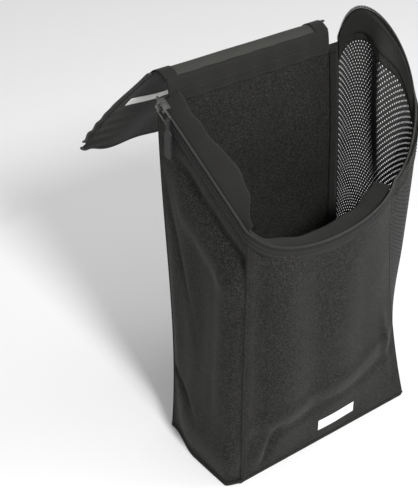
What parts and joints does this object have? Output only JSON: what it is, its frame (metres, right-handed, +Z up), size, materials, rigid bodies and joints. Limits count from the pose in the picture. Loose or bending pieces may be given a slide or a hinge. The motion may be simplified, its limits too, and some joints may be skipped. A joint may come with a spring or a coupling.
{
  "type": "shoe bag",
  "caption": "Upright zip-top shoe bag in black speckled woven cloth, open with its flap thrown back, with a flared mesh vent on the right side.",
  "frame": {"origin": "middle of the base's underside, on the ground", "axes": "+X the bag's right seen from its front, +Y its back, +Z up"},
  "size_m": [0.2537, 0.2874, 0.3877],
  "materials": {
    "woven_cloth": "speckled black polyester weave",
    "coated_lining": "smooth grey coated lining",
    "vent_mesh": "open diamond mesh",
    "zip_tape": "ribbed woven tape",
    "zip_teeth": "moulded coil",
    "dark_metal": "dark painted zinc",
    "puller_rubber": "matt moulded",
    "pale_print": "plain heat-transfer film"
  },
  "bodies": {
    "bag": {"base_panel": "woven_cloth", "front_panel": "woven_cloth", "back_panel": "woven_cloth", "left_gusset": "woven_cloth", "right_gusset_lower": "woven_cloth", "right_mesh_vent": "vent_mesh", "right_gusset_band": "woven_cloth", "front_left_binding": "zip_tape", "front_right_binding": "zip_tape", "back_left_binding": "zip_tape", "back_right_binding": "zip_tape", "mesh_seam_tape": "zip_tape", "left_facing": "woven_cloth", "front_facing": "woven_cloth", "right_facing": "woven_cloth", "body_zip_tape": "zip_tape", "body_zip_teeth": "zip_teeth", "zip_end_stops": "dark_metal", "hinge_strip": "woven_cloth", "front_patch": "pale_print"},
    "flap_fold_leaf": {"flap_fold": "woven_cloth", "flap_fold_lining": "coated_lining"},
    "flap_lid_leaf": {"flap_lid": "woven_cloth", "flap_lid_lining": "coated_lining", "flap_border": "woven_cloth", "flap_lid_zip_tape": "zip_tape", "flap_lid_zip_teeth": "zip_teeth", "flap_patch": "pale_print"},
    "flap_end_leaf": {"flap_end": "woven_cloth", "flap_end_lining": "coated_lining", "flap_end_zip_tape": "zip_tape", "flap_end_zip_teeth": "zip_teeth"},
    "slider": {"slider_body": "dark_metal"},
    "ring": {"pull_ring": "dark_metal"},
    "pull_tab": {"puller": "puller_rubber"}
  },
  "joints": [
    {"name": "flap_hinge", "type": "hinge", "parent": "bag", "child": "flap_fold_leaf", "pos_m": [0, 0.066, 0.363], "axis": [1, 0, 0], "range_deg": [0, 176]},
    {"name": "lid_crease", "type": "hinge", "parent": "flap_fold_leaf", "child": "flap_lid_leaf", "pos_m": [0, 0.07807, 0.37012], "axis": [1, 0, 0], "range_deg": [0, 76.5]},
    {"name": "end_crease", "type": "hinge", "parent": "flap_lid_leaf", "child": "flap_end_leaf", "pos_m": [0, 0.18378, 0.26368], "axis": [1, 0, 0], "range_deg": [0, 46]},
    {"name": "zip_slide", "type": "slide", "parent": "bag", "child": "slider", "axis": [0, -0.8445, -0.5355], "range_m": [0, 0.1246]},
    {"name": "ring_swing", "type": "hinge", "parent": "slider", "child": "ring", "pos_m": [-0.1124, 0.05701, 0.34738], "axis": [0, 0.5355, -0.8445], "range_deg": [0, 100]},
    {"name": "puller_swing", "type": "hinge", "parent": "ring", "child": "pull_tab", "pos_m": [-0.1124, 0.04518, 0.33988], "axis": [0, 0.5355, -0.8445], "range_deg": [0, 110]}
  ],
  "couplings": [
    {"joint": "lid_crease", "follows": "flap_hinge", "ratio": 0.43466},
    {"joint": "end_crease", "follows": "flap_hinge", "ratio": 0.26136}
  ]
}
